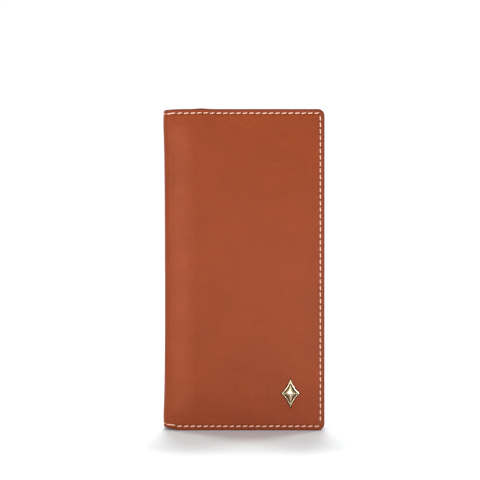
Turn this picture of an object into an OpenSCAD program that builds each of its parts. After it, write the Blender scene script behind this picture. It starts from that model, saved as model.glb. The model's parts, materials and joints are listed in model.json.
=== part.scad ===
// Long bifold wallet, standing upright and closed.
// X runs from the spine (-X) to the free edges (+X), the front cover faces -Y and Z is up.
// The origin is the middle of the closed wallet at the level that its bottom edges stand on.
// The back cover is the fixed body, the spine folds on it and the front cover folds on the spine.

/* [Wallet] */
// Height of the closed wallet, along the spine
wallet_h = 190; // [188:1:200]
// Width of the closed wallet, from the spine to the free edges
wallet_w = 95; // [95:1:105]
// Thickness of the closed wallet
wallet_t = 14; // [14:0.5:16]
// Outer radius of the two rounded folds of the spine
fold_r = 5; // [4.5:0.5:6]
// Radius of the free corners of both covers
corner_r = 4; // [1:0.5:6]

/* [Leather] */
// Thickness of the cover leather
cover_t = 1.3; // [1:0.1:1.4]
// Thickness of the stiffening boards, and of the turned hem beside them
board_t = 0.6; // [0.4:0.1:0.7]
// Thickness of the linings
lining_t = 0.4; // [0.3:0.1:0.5]
// Width of the turned hem along the top, bottom and free edges
hem_w = 8; // [6:0.5:10]

/* [Card slots] */
// Number of card slots
slot_count = 8; // [4:1:8]
// Height of the strip that each slot shows
slot_pitch = 15; // [12:0.5:15]
// Height of the mouth of the lowest slot
first_slot_z = 54; // [54:1:60]
// Depth of each slot, from its mouth to its bottom seam
slot_depth = 52; // [48:1:52]
// Thickness of one slot leaf
leaf_t = 0.5; // [0.4:0.1:0.5]

/* [Zip] */
// Distance of the zip from the middle of the wallet, towards the spine
zip_offset = 24; // [15:1:28]
// Spacing of the teeth along one side of the zip
tooth_pitch = 1.8; // [1.6:0.1:2.2]
// Travel of the slider
zip_travel = 150; // [100:1:150]

/* [Stitching] */
// Distance of the seams from the cover edges
seam_inset = 2.55; // [2:0.05:3.5]
// Length of one visible stitch
stitch_l = 2.7; // [2:0.1:3.2]
// Radius of the thread
thread_r = 0.3; // [0.2:0.05:0.35]
// Spacing of the stitches on the long seams
long_pitch = 3.85; // [3.5:0.05:5]
// Spacing of the stitches on the short seams
short_pitch = 3.7; // [3.5:0.1:5]

/* [Badge] */
// Width of the lozenge badge on the front cover
badge_w = 10.6; // [8:0.2:14]
// Height of the lozenge badge
badge_h = 16.4; // [12:0.2:20]
// Distance of the badge centre from the free edge
badge_from_edge = 20.2; // [15:0.1:40]
// Height of the badge centre
badge_z = 22; // [18:0.5:60]

/* [Hidden] */

half_t = wallet_t / 2;
free_x = wallet_w / 2;
eps = 0.1;
arc_steps = 8;

// The folds of the spine: the centre of each corner arc, and the hinge line on its outer face.
fold_x = -free_x + fold_r;
fold_y = half_t - fold_r;
cut_angle = 135;

// Depths below the outer face of a cover.
depth_board = cover_t;
depth_lining = cover_t + board_t;
depth_pocket = depth_lining + lining_t;
pocket_gap = 0.3;
depth_bag = depth_pocket + pocket_gap;

// Inner panels, inset from the cover edges.
panel_inset = 1;
panel_x0 = fold_x - 1;
panel_x1 = free_x - panel_inset;
panel_z0 = panel_inset;
panel_z1 = wallet_h - panel_inset;
panel_corner_r = max(corner_r - panel_inset, 0.5);
board_x0 = fold_x + 1.5;
rim_w = 3;

// Card side, from the front lining towards the middle.
backing_t = 0.5;
backing_face_y = -half_t + depth_bag + backing_t;
leaf_gap = 0.12;
leaf_tilt = asin((leaf_t + leaf_gap) / slot_pitch);
leaf_face_y = backing_face_y + slot_depth * sin(leaf_tilt) + leaf_t + 0.05;

// Zip side, from the back lining towards the middle.
zip_x = -zip_offset;
bag_t = 0.3;
gusset_w = 6;
gusset_leaf_t = 0.7;
panel_t = 0.9;
coin_depth = 2.4;
tape_face_y = half_t - depth_bag - coin_depth;
panel_face_y = tape_face_y - panel_t;
tape_t = 0.4;
tape_w = 9.1;
tape_edge = 1.9;
zip_mid_y = tape_face_y + tape_t / 2;
tooth_t = 1.6;
tooth_w = 0.8;
tooth_head = 0.5;
tooth_grip = 0.6;
window_half_w = 5.5;
window_end = 12;
window_corner_r = 3;
tape_end = 9;
chain_z0 = 16;
chain_z1 = wallet_h - 19;
chain_teeth = floor((chain_z1 - chain_z0) / tooth_pitch);

// Slider, at the closed end of the zip.
slider_tail_z = wallet_h - 21.5;
slider_l = 9.5;
slider_waist_z = 0.62 * slider_l;
slider_shoulder_z = 0.85 * slider_l;
slider_plate_t = 0.55;
slider_channel = 1.8;
slider_top_y = zip_mid_y - slider_channel / 2 - slider_plate_t;
bridge_foot_r = 0.6;
bridge_foot_h = 1.1;
bridge_foot_1 = 2.2;
bridge_foot_2 = 6.6;
bridge_bar_t = 0.45;
pull_z = slider_tail_z + bridge_foot_1;
pull_t = 0.85;
pull_gap = 0.1;
pull_l = 16;

// Stitches lie in shallow grooves, so that they stand proud by less than a radius.
groove_half_w = 0.45;
groove_depth = 0.35;
stitch_axis_depth = groove_depth - thread_r;

leather = [0.65, 0.32, 0.2];
leather_inside = [0.6, 0.3, 0.19];
thread = [0.9, 0.74, 0.62];
board = [0.75, 0.68, 0.55];
cloth = [0.45, 0.3, 0.2];
metal = [0.78, 0.68, 0.42];

// ---------- outlines and helpers ----------

// Points on an arc from angle a0 to a1.
function arc(cx, cy, r, a0, a1, steps = arc_steps) =
    [for (i = [0:steps]) let (a = a0 + (a1 - a0) * i / steps) [cx + r * cos(a), cy + r * sin(a)]];

// A rectangle whose two corners on the +X side are rounded, as seen from the front.
function free_side_outline(x0, x1, z0, z1, r) =
    concat([[x0, z0]], arc(x1 - r, z0 + r, r, -90, 0), arc(x1 - r, z1 - r, r, 0, 90), [[x0, z1]]);

// A rectangle with four rounded corners.
function round_outline(x0, x1, z0, z1, r) =
    concat(arc(x0 + r, z0 + r, r, 180, 270), arc(x1 - r, z0 + r, r, 270, 360),
        arc(x1 - r, z1 - r, r, 0, 90), arc(x0 + r, z1 - r, r, 90, 180));

// Section of the back half between two depths, from the fold's hinge line to x_end.
function back_section(d0, d1, x_end) =
    concat(arc(fold_x, fold_y, fold_r - d0, cut_angle, 90), [[x_end, half_t - d0], [x_end, half_t - d1]],
        arc(fold_x, fold_y, fold_r - d1, 90, cut_angle));

// Section of the spine between two depths, from one hinge line to the other.
function spine_section(d0, d1) =
    concat(arc(fold_x, fold_y, fold_r - d0, cut_angle, 180),
        arc(fold_x, -fold_y, fold_r - d0, 180, 360 - cut_angle),
        arc(fold_x, -fold_y, fold_r - d1, 360 - cut_angle, 180),
        arc(fold_x, fold_y, fold_r - d1, 180, cut_angle));

// Extrudes an outline drawn in X and Z through the thickness t, ending at y_hi.
module slab(y_hi, t) {
    translate([0, y_hi, 0]) rotate([90, 0, 0]) linear_extrude(t) children();
}

// Extrudes a section drawn in X and Y from z0 to z1.
module along_spine(z0, z1) {
    translate([0, 0, z0]) linear_extrude(z1 - z0) children();
}

// Shows a shape of the back half as the same shape of the front half.
module as_front() {
    mirror([0, 1, 0]) children();
}

// Slab that covers both faces of a cover, used to cut its free corners.
module cover_block() {
    slab(half_t + eps, half_t + eps)
        polygon(free_side_outline(-free_x - eps, free_x, 0, wallet_h, corner_r));
}

// ---------- stitches ----------

// One straight stitch along X, centred on the origin.
module stitch_x() {
    rotate([0, 90, 0]) cylinder(h = stitch_l, r = thread_r, center = true, $fn = 16);
}

// One straight stitch along Z, centred on the origin.
module stitch_z() {
    cylinder(h = stitch_l, r = thread_r, center = true, $fn = 16);
}

// Middles of the stitches that fit between two ends.
function stitch_places(from, to, pitch) =
    let (count = round((to - from) / pitch), step = (to - from) / count)
        [for (i = [0:count - 1]) from + step * (i + 0.5)];

// A seam round the three free sides of a half, on a face at y.
module three_sided_seam(x0, x1, z0, z1, y) {
    for (z = [z0, z1], x = stitch_places(x0, x1, short_pitch)) translate([x, y, z]) stitch_x();
    for (z = stitch_places(z0, z1, long_pitch)) translate([x1, y, z]) stitch_z();
}

// A stitch that follows one fold of the spine between two angles.
module fold_stitch(cy, a0, a1, z) {
    translate([fold_x, cy, z]) rotate([0, 0, a0]) rotate_extrude(angle = a1 - a0, $fn = 64)
        translate([fold_r - stitch_axis_depth, 0]) circle(r = thread_r, $fn = 16);
}

// Groove of a seam round the three free sides of a slab whose face is at y.
module three_sided_groove(x0, x1, z0, z1, y) {
    for (z = [z0, z1]) translate([x0, y, z - groove_half_w])
        cube([x1 + groove_half_w - x0, groove_depth, 2 * groove_half_w]);
    translate([x1 - groove_half_w, y, z0]) cube([2 * groove_half_w, groove_depth, z1 - z0]);
}

seam_x = free_x - seam_inset;
panel_seam_x = panel_x0 + 1.3;
panel_row_x = panel_x0 + 2.5;
seam_z0 = seam_inset;
seam_z1 = wallet_h - seam_inset;

// Grooves of the outer seam in a cover, which run on round the fold.
module cover_grooves() {
    for (z = [seam_z0, seam_z1])
        along_spine(z - groove_half_w, z + groove_half_w)
            polygon(back_section(-eps, groove_depth, seam_x + groove_half_w));
    translate([seam_x - groove_half_w, half_t - groove_depth, seam_z0])
        cube([2 * groove_half_w, groove_depth + eps, seam_z1 - seam_z0]);
}

// ---------- covers ----------

module hem_outline() {
    difference() {
        polygon(free_side_outline(-free_x, free_x, 0, wallet_h, corner_r));
        translate([-free_x - eps, hem_w]) square([wallet_w - hem_w + eps, wallet_h - 2 * hem_w]);
    }
}

module cover_leather() {
    difference() {
        intersection() {
            union() {
                along_spine(0, wallet_h) polygon(back_section(0, cover_t, free_x));
                intersection() {
                    along_spine(0, wallet_h) polygon(back_section(cover_t - 0.01, depth_lining, free_x));
                    slab(half_t, half_t) hem_outline();
                }
            }
            cover_block();
        }
        cover_grooves();
    }
}

module cover_stiffener() {
    slab(half_t - depth_board, board_t)
        polygon(round_outline(board_x0, free_x - hem_w, hem_w, wallet_h - hem_w, 1));
}

module cover_lining() {
    intersection() {
        along_spine(panel_z0, panel_z1) polygon(back_section(depth_lining, depth_pocket, panel_x1));
        slab(half_t, half_t)
            polygon(free_side_outline(-free_x, panel_x1, panel_z0, panel_z1, panel_corner_r));
    }
}

module cover_seam() {
    three_sided_seam(fold_x, seam_x, seam_z0, seam_z1, half_t - stitch_axis_depth);
    for (z = [seam_z0, seam_z1]) fold_stitch(fold_y, 93, cut_angle - 4, z);
}

module back_cover() {
    color(leather) cover_leather();
}

module back_stiffener() {
    color(board) cover_stiffener();
}

module back_lining() {
    color(leather_inside) cover_lining();
}

module back_cover_seam() {
    color(thread) cover_seam();
}

badge_x = free_x - badge_from_edge;
prong_offset = 4;
prong_r = 0.5;

module front_cover() {
    color(leather) difference() {
        as_front() cover_leather();
        for (side = [-1, 1]) translate([badge_x, -half_t - eps, badge_z + side * prong_offset])
            rotate([-90, 0, 0]) cylinder(h = cover_t + 2 * eps, r = prong_r + 0.02, $fn = 24);
    }
}

module front_stiffener() {
    color(board) difference() {
        as_front() cover_stiffener();
        translate([badge_x - 2, -half_t + depth_board - eps, badge_z - 7]) cube([4, board_t + 2 * eps, 14]);
    }
}

module front_lining() {
    color(leather_inside) as_front() cover_lining();
}

module front_cover_seam() {
    color(thread) as_front() cover_seam();
}

// ---------- spine ----------

module spine_leather() {
    color(leather) difference() {
        union() {
            along_spine(0, wallet_h) polygon(spine_section(0, cover_t));
            for (z = [0, wallet_h - hem_w])
                along_spine(z, z + hem_w) polygon(spine_section(cover_t - 0.01, depth_lining));
        }
        for (z = [seam_z0, seam_z1])
            along_spine(z - groove_half_w, z + groove_half_w) polygon(spine_section(-eps, groove_depth));
    }
}

module spine_padding() {
    color(board) along_spine(hem_w, wallet_h - hem_w) polygon(spine_section(depth_board, depth_lining));
}

module spine_lining() {
    color(leather_inside) along_spine(panel_z0, panel_z1)
        polygon(spine_section(depth_lining, depth_pocket));
}

module spine_seam() {
    color(thread) for (z = [seam_z0, seam_z1]) {
        fold_stitch(fold_y, cut_angle + 4, 178, z);
        fold_stitch(-fold_y, 182, 360 - cut_angle - 4, z);
        translate([-free_x + stitch_axis_depth, 0, z]) rotate([90, 0, 0]) stitch_z();
    }
}

// ---------- card side, inside the front cover ----------

// Turned edge that closes the pocket behind a panel along its bottom and free edge.
module pocket_rim(y_hi) {
    slab(y_hi, pocket_gap) difference() {
        polygon(free_side_outline(panel_x0, panel_x1, panel_z0, panel_z1, panel_corner_r));
        translate([panel_x0 - eps, panel_z0 + rim_w]) square([panel_x1 - rim_w - panel_x0 + eps, wallet_h]);
    }
}

module card_backing() {
    color(leather_inside) {
        slab(backing_face_y, backing_t)
            polygon(free_side_outline(panel_x0, panel_x1, panel_z0, panel_z1, panel_corner_r));
        pocket_rim(backing_face_y - backing_t);
    }
}

// Height of the mouth of slot k, counted from the lowest.
function slot_z(k) = first_slot_z + slot_pitch * (k - 1);

module card_slot(k) {
    color(leather_inside) if (k <= slot_count)
        translate([0, leaf_face_y, slot_z(k)]) rotate([-leaf_tilt, 0, 0])
        slab(0, leaf_t) translate([panel_x0, -slot_depth]) square([panel_x1 - panel_x0, slot_depth]);
}

// Face of the card panel at height z: the exposed leaf there, or the backing above the slots.
function slot_at(z) = max(1, ceil((z - first_slot_z) / slot_pitch) + 1);
function card_face_y(z) =
    slot_at(z) > slot_count ? backing_face_y : leaf_face_y - (slot_z(slot_at(z)) - z) * tan(leaf_tilt);

// Highest face under a stitch that stands at z and has the stated reach up and down.
function stitch_y(z, reach) = max([for (s = [-1:0.5:1]) card_face_y(z + s * reach)]) + thread_r + 0.02;

module card_long_seam(x) {
    for (z = stitch_places(seam_z0, seam_z1, long_pitch))
        translate([x, stitch_y(z, stitch_l / 2), z]) stitch_z();
}

module card_panel_seam() {
    color(thread) card_long_seam(panel_seam_x);
}

module front_inner_seam() {
    color(thread) {
        card_long_seam(seam_x);
        for (z = [seam_z0, seam_z1], x = stitch_places(panel_row_x, seam_x, short_pitch))
            translate([x, stitch_y(z, thread_r), z]) stitch_x();
    }
}

// ---------- zip pocket, inside the back cover ----------

bag_z0 = panel_z0 + gusset_w;
bag_z1 = panel_z1 - gusset_w;
bag_x0 = panel_x0 + 1;
bag_x1 = panel_x1 - gusset_w;
bag_front_y = tape_face_y + tape_t + bag_t;

// The rear of the cloth bag, with the fold that closes it along the spine.
module coin_bag_rear() {
    color(cloth) {
        slab(half_t - depth_bag, bag_t)
            translate([bag_x0, bag_z0]) square([bag_x1 - bag_x0, bag_z1 - bag_z0]);
        slab(half_t - depth_bag, half_t - depth_bag - bag_front_y) translate([bag_x0, bag_z0])
            square([bag_t, bag_z1 - bag_z0]);
    }
}

module coin_bag_front() {
    color(cloth) slab(bag_front_y, bag_t) {
        translate([bag_x0, bag_z0]) square([zip_x - window_half_w - bag_x0, bag_z1 - bag_z0]);
        translate([zip_x + window_half_w, bag_z0])
            square([bag_x1 - zip_x - window_half_w, bag_z1 - bag_z0]);
    }
}

// One leaf of the gusset, which runs along the bottom, the free edge and the top.
module gusset_outline(outer_inset) {
    difference() {
        polygon(free_side_outline(panel_x0, panel_x1 - outer_inset,
            panel_z0 + outer_inset, panel_z1 - outer_inset, panel_corner_r));
        translate([panel_x0 - eps, bag_z0]) square([bag_x1 - panel_x0 + eps, bag_z1 - bag_z0]);
    }
}

module coin_pocket_gusset() {
    fold_wall = 0.7;
    color(leather_inside) {
        slab(tape_face_y + gusset_leaf_t, gusset_leaf_t) gusset_outline(0);
        slab(tape_face_y + coin_depth, coin_depth) gusset_outline(gusset_w - fold_wall);
        slab(tape_face_y + coin_depth, gusset_leaf_t) gusset_outline(0);
        pocket_rim(tape_face_y + coin_depth + pocket_gap);
    }
}

module coin_pocket_panel() {
    color(leather_inside) difference() {
        slab(tape_face_y, panel_t) difference() {
            polygon(free_side_outline(panel_x0, panel_x1, panel_z0, panel_z1, panel_corner_r));
            polygon(round_outline(zip_x - window_half_w, zip_x + window_half_w,
                window_end, wallet_h - window_end, window_corner_r));
        }
        translate([0, -eps, 0]) three_sided_groove(panel_x0 - eps, seam_x, seam_z0, seam_z1, panel_face_y);
        translate([panel_seam_x - groove_half_w, panel_face_y - eps, seam_z0])
            cube([2 * groove_half_w, groove_depth, seam_z1 - seam_z0]);
        window_groove();
    }
}

window_seam_gap = 1.8;
window_seam_x = window_half_w + window_seam_gap;

module window_groove() {
    x_out = window_seam_x;
    for (side = [-1, 1])
        translate([zip_x + side * x_out - groove_half_w, panel_face_y - eps, window_end - window_seam_gap])
        cube([2 * groove_half_w, groove_depth, wallet_h - 2 * (window_end - window_seam_gap)]);
    for (z = [window_end - window_seam_gap, wallet_h - window_end + window_seam_gap])
        translate([zip_x - x_out - groove_half_w, panel_face_y - eps, z - groove_half_w])
            cube([2 * (x_out + groove_half_w), groove_depth, 2 * groove_half_w]);
}

panel_stitch_y = panel_face_y - eps + groove_depth - thread_r;

module coin_panel_seam() {
    color(thread) {
        three_sided_seam(panel_row_x, seam_x, seam_z0, seam_z1, panel_stitch_y);
        for (z = stitch_places(seam_z0, seam_z1, long_pitch))
            translate([panel_seam_x, panel_stitch_y, z]) stitch_z();
    }
}

module zip_window_seam() {
    x_out = window_seam_x;
    color(thread) {
        for (side = [-1, 1], z = stitch_places(window_end, wallet_h - window_end, long_pitch))
            translate([zip_x + side * x_out, panel_stitch_y, z]) stitch_z();
        for (z = [window_end - window_seam_gap, wallet_h - window_end + window_seam_gap],
            x = stitch_places(zip_x - x_out, zip_x + x_out, short_pitch))
            translate([x, panel_stitch_y, z]) stitch_x();
    }
}

// ---------- zip ----------

module zip_tape(side) {
    color(cloth) slab(tape_face_y + tape_t, tape_t)
        translate([side > 0 ? zip_x + tape_edge : zip_x - tape_edge - tape_w, tape_end])
            square([tape_w, wallet_h - 2 * tape_end]);
}

// A tooth gripping the tape edge, reaching just over the middle of the chain.
module tooth(side) {
    reach = tape_edge + tooth_grip + tooth_head;
    translate([zip_x, zip_mid_y, 0]) mirror([side > 0 ? 0 : 1, 0, 0]) difference() {
        translate([-tooth_head, -tooth_t / 2, 0]) cube([reach, tooth_t, tooth_w]);
        translate([tape_edge, -tape_t / 2, -eps]) cube([reach, tape_t, tooth_w + 2 * eps]);
    }
}

module zip_teeth(side) {
    first_z = chain_z0 + (side > 0 ? tooth_pitch / 2 : 0);
    color(metal) for (i = [0:chain_teeth - 1]) translate([0, 0, first_z + i * tooth_pitch]) tooth(side);
}

// A stop clamped on the tape edge, from x0 to x1 beside the middle of the zip.
module stop_clamp(side, z, h) {
    translate([zip_x, zip_mid_y, z]) mirror([side > 0 ? 0 : 1, 0, 0]) difference() {
        translate([0.95, -tooth_t / 2, 0]) cube([1.75, tooth_t, h]);
        translate([tape_edge, -tape_t / 2, -eps]) cube([1.75, tape_t, h + 2 * eps]);
    }
}

module zip_top_stops() {
    color(metal) for (side = [-1, 1]) stop_clamp(side, chain_z1 + 0.6, 1.8);
}

module zip_bottom_stop() {
    color(metal) translate([zip_x, zip_mid_y, chain_z0 - 2.4]) difference() {
        translate([-2.6, -tooth_t / 2, 0]) cube([5.2, tooth_t, 2]);
        for (side = [-1, 1])
            translate([side * (tape_edge + 1) - 1, -tape_t / 2, -eps]) cube([2, tape_t, 2 + 2 * eps]);
    }
}

// Outline of the slider plates: narrow at the tail, wide at the nose.
function slider_outline(inset) =
    let (tail = 3.5 - inset, nose = 4.3 - inset)
    [[-tail, inset], [tail, inset], [nose, slider_waist_z], [nose, slider_shoulder_z], [1.8, slider_l - inset],
        [-1.8, slider_l - inset], [-nose, slider_shoulder_z], [-nose, slider_waist_z]];

module slider_flanges() {
    flange_h = 0.55;
    difference() {
        slab(slider_channel / 2, slider_channel) difference() {
            polygon(slider_outline(0));
            polygon([[-2.85, -eps], [2.85, -eps], [3.65, slider_waist_z], [3.65, slider_l + eps],
                [-3.65, slider_l + eps], [-3.65, slider_waist_z]]);
        }
        translate([-10, -slider_channel / 2 + flange_h, -eps])
            cube([20, slider_channel - 2 * flange_h, slider_l + 2 * eps]);
    }
}

module zip_slider() {
    color(metal) {
        translate([zip_x, zip_mid_y, slider_tail_z]) {
            slab(-slider_channel / 2, slider_plate_t) polygon(slider_outline(0));
            slab(slider_channel / 2 + slider_plate_t, slider_plate_t) polygon(slider_outline(0));
            slider_flanges();
            slab(slider_channel / 2 + eps, slider_channel + 2 * eps)
                polygon([[0, 5.4], [0.8, 7], [0.8, 8.4], [-0.8, 8.4], [-0.8, 7]]);
        }
        translate([zip_x, slider_top_y, slider_tail_z]) {
            for (z = [bridge_foot_1, bridge_foot_2]) translate([0, eps, z]) rotate([90, 0, 0])
                cylinder(h = bridge_foot_h + 2 * eps, r = bridge_foot_r, $fn = 32);
            slab(-bridge_foot_h, bridge_bar_t) translate([-bridge_foot_r, bridge_foot_1 - bridge_foot_r])
                square([2 * bridge_foot_r, bridge_foot_2 - bridge_foot_1 + 2 * bridge_foot_r]);
        }
    }
}

module zip_pull() {
    eye_r = 2.2;
    neck_w = 3;
    tip_w = 4.4;
    tip_r = 2.4;
    tip_hole_r = 1;
    hole_r = bridge_foot_r + 0.1;
    color(metal) translate([zip_x, slider_top_y - pull_gap, pull_z]) difference() {
        union() {
            pull_disc(0, eye_r);
            slab(0, pull_t)
                polygon([[-neck_w / 2, 0], [neck_w / 2, 0], [tip_w / 2, tip_r - pull_l], [-tip_w / 2, tip_r - pull_l]]);
            pull_disc(tip_r - pull_l, tip_r);
        }
        translate([0, eps, 0]) rotate([90, 0, 0]) cylinder(h = pull_t + 2 * eps, r = hole_r, $fn = 32);
        translate([0, eps, tip_r - pull_l]) rotate([90, 0, 0])
            cylinder(h = pull_t + 2 * eps, r = tip_hole_r, $fn = 32);
    }
}

// One round end of the pull.
module pull_disc(z, r) {
    translate([0, 0, z]) rotate([90, 0, 0]) cylinder(h = pull_t, r = r, $fn = 48);
}

// ---------- badge ----------

function lozenge(w, h) = [[0, -h / 2], [w / 2, 0], [0, h / 2], [-w / 2, 0]];

module badge() {
    base_t = 0.5;
    crown_t = 0.7;
    color(metal) translate([badge_x, -half_t, badge_z]) {
        slab(0, base_t) polygon(lozenge(badge_w, badge_h));
        translate([0, -base_t, 0]) rotate([90, 0, 0]) linear_extrude(crown_t, scale = 0.25)
            polygon(lozenge(badge_w - 1.6, badge_h - 2.4));
    }
}

// Two prongs soldered to the badge, pushed through the leather and folded over behind it.
module badge_prongs() {
    foot_l = 2.4;
    foot_t = 0.4;
    color(metal) for (side = [-1, 1]) translate([badge_x, -half_t, badge_z + side * prong_offset]) {
        rotate([-90, 0, 0]) cylinder(h = cover_t + foot_t, r = prong_r, $fn = 24);
        translate([-prong_r, cover_t, side > 0 ? -prong_r : -foot_l + prong_r])
            cube([2 * prong_r, foot_t, foot_l]);
    }
}

// ---------- nodes ----------

back_cover();
back_stiffener();
back_lining();
back_cover_seam();
coin_bag_rear();
coin_bag_front();
coin_pocket_gusset();
coin_pocket_panel();
coin_panel_seam();
zip_window_seam();
zip_tape(-1);  // zip_tape_left
zip_tape(1);  // zip_tape_right
zip_teeth(-1);  // zip_teeth_left
zip_teeth(1);  // zip_teeth_right
zip_top_stops();
zip_bottom_stop();
zip_slider();
zip_pull();
spine_leather();
spine_padding();
spine_lining();
spine_seam();
front_cover();
front_stiffener();
front_lining();
front_cover_seam();
card_backing();
card_slot(1);  // card_slot_1
card_slot(2);  // card_slot_2
card_slot(3);  // card_slot_3
card_slot(4);  // card_slot_4
card_slot(5);  // card_slot_5
card_slot(6);  // card_slot_6
card_slot(7);  // card_slot_7
card_slot(8);  // card_slot_8
card_panel_seam();
front_inner_seam();
badge();
badge_prongs();
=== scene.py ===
import json
import math

import bmesh
import bpy
import numpy as np
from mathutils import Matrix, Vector, noise


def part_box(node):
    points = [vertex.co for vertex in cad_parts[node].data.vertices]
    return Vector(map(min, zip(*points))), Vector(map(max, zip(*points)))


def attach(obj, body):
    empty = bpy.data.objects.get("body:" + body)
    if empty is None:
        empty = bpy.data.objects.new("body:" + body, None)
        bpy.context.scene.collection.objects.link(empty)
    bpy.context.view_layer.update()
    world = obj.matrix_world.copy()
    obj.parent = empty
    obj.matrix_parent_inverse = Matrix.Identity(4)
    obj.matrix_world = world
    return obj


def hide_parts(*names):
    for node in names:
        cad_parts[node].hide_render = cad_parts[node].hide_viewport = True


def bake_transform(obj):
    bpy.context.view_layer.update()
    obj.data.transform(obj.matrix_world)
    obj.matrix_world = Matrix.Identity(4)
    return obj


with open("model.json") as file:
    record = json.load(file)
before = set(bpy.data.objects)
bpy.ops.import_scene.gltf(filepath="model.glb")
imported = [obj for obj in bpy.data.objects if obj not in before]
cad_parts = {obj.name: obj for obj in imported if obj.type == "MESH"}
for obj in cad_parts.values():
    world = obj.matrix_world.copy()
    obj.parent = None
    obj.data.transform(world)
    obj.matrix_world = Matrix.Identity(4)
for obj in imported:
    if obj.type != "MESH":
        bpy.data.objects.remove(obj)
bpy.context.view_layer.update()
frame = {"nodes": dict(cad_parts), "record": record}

# ---------------------------------------------------------------- places, in millimetres

MM = 0.001


def node_box(node):
    """The low and the high corner of a CAD node's box."""
    low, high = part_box(node)
    return np.array(low) / MM, np.array(high) / MM


FREE_X, FACE_Y, TOP_Z = node_box("back_cover")[1]
SPINE_X = node_box("spine_leather")[0][0]
joints = {joint["name"]: joint for joint in frame["record"]["behaviour"]["joints"]}
HINGE_X = joints["spine_fold"]["pos_m"][0] / MM
FOLD_R = (HINGE_X - SPINE_X) / (1 - math.sqrt(0.5))  # the hinge is at the middle of the fold's arc
FOLD_X = SPINE_X + FOLD_R
FOLD_Y = FACE_Y - FOLD_R
ARC_L = FOLD_R * math.pi / 2
FLAT_U = FOLD_Y + ARC_L  # length along the section from the middle of the spine to the end of the fold
FREE_U = FLAT_U + FREE_X - FOLD_X
COVER_T = node_box("spine_lining")[0][0] - SPINE_X  # leather and turned hem
LINING_T = 0.4
SEAM_IN = 2.55  # from an edge to the seam along it
CORNER_R = 4.0
WAIST = 1.0  # how far the middle of the spine is pressed in
SPREAD = 0.76  # how far the spine stands out past the CAD part's outline
HEM_LIFT = 1.25  # how far the bottom hem is drawn up at the spine
RUB_HIGHLIGHT_U = 15.0  # from the middle of the spine to the middle of the band on a cover that is painted lighter, partly rubbed leather and partly a painted highlight


def smooth(t):
    t = np.clip(t, 0, 1)
    return t * t * (3 - 2 * t)


def waves(u, z, size, seed):
    """Smooth noise from -1 to 1 with waves of that size."""
    flat = [noise.noise(Vector((a / size, b / size, seed))) for a, b in zip(u.ravel(), z.ravel())]
    return np.array(flat).reshape(u.shape)


# ---------------------------------------------------------------- materials


def material(name):
    m = bpy.data.materials.new(name)
    m.use_nodes = True
    nodes = m.node_tree.nodes
    nodes.clear()
    out = nodes.new("ShaderNodeOutputMaterial")
    shader = nodes.new("ShaderNodeBsdfPrincipled")
    m.node_tree.links.new(shader.outputs[0], out.inputs[0])
    return m, shader


class Graph:
    """Short names for making nodes and joining them."""

    def __init__(self, m):
        self.tree = m.node_tree

    def node(self, kind, **values):
        n = self.tree.nodes.new("ShaderNode" + kind)
        for key, value in values.items():
            setattr(n, key, value)
        return n

    def put(self, value, socket):
        if hasattr(value, "is_output"):
            self.tree.links.new(value, socket)
        else:
            socket.default_value = value

    def math(self, operation, a, b=0.0):
        n = self.node("Math", operation=operation)
        self.put(a, n.inputs[0])
        self.put(b, n.inputs[1])
        return n.outputs["Value"]

    def mix(self, factor, a, b):
        """Mixes two colours, whose sockets are 6 and 7."""
        n = self.node("Mix", data_type="RGBA")
        self.put(factor, n.inputs["Factor"])
        self.put(a, n.inputs[6])
        self.put(b, n.inputs[7])
        return n.outputs[2]

    def ramp(self, value, low, high, to_low=0.0, to_high=1.0):
        n = self.node("MapRange", clamp=True)
        self.put(value, n.inputs["Value"])
        for key, v in (("From Min", low), ("From Max", high), ("To Min", to_low), ("To Max", to_high)):
            n.inputs[key].default_value = v
        return n.outputs["Result"]

    def noise(self, vector, scale, detail=3.0, rough=0.55):
        n = self.node("TexNoise")
        self.put(vector, n.inputs["Vector"])
        n.inputs["Scale"].default_value = scale
        n.inputs["Detail"].default_value = detail
        n.inputs["Roughness"].default_value = rough
        return n.outputs["Fac"]

    def cells(self, vector, scale):
        n = self.node("TexVoronoi")
        self.put(vector, n.inputs["Vector"])
        n.inputs["Scale"].default_value = scale
        return n.outputs["Distance"]

    def attribute(self, name):
        return self.node("Attribute", attribute_name=name)

    def bump(self, height, distance, normal=None):
        n = self.node("Bump")
        n.inputs["Strength"].default_value = 1.0
        n.inputs["Distance"].default_value = distance
        self.put(height, n.inputs["Height"])
        if normal is not None:
            self.put(normal, n.inputs["Normal"])
        return n.outputs["Normal"]


def colour(r, g, b):
    """A display colour from 0 to 255 as linear red, green, blue and alpha."""
    lin = [c / 255 / 12.92 if c <= 10 else ((c / 255 + 0.055) / 1.055) ** 2.4 for c in (r, g, b)]
    return (*lin, 1.0)


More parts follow.
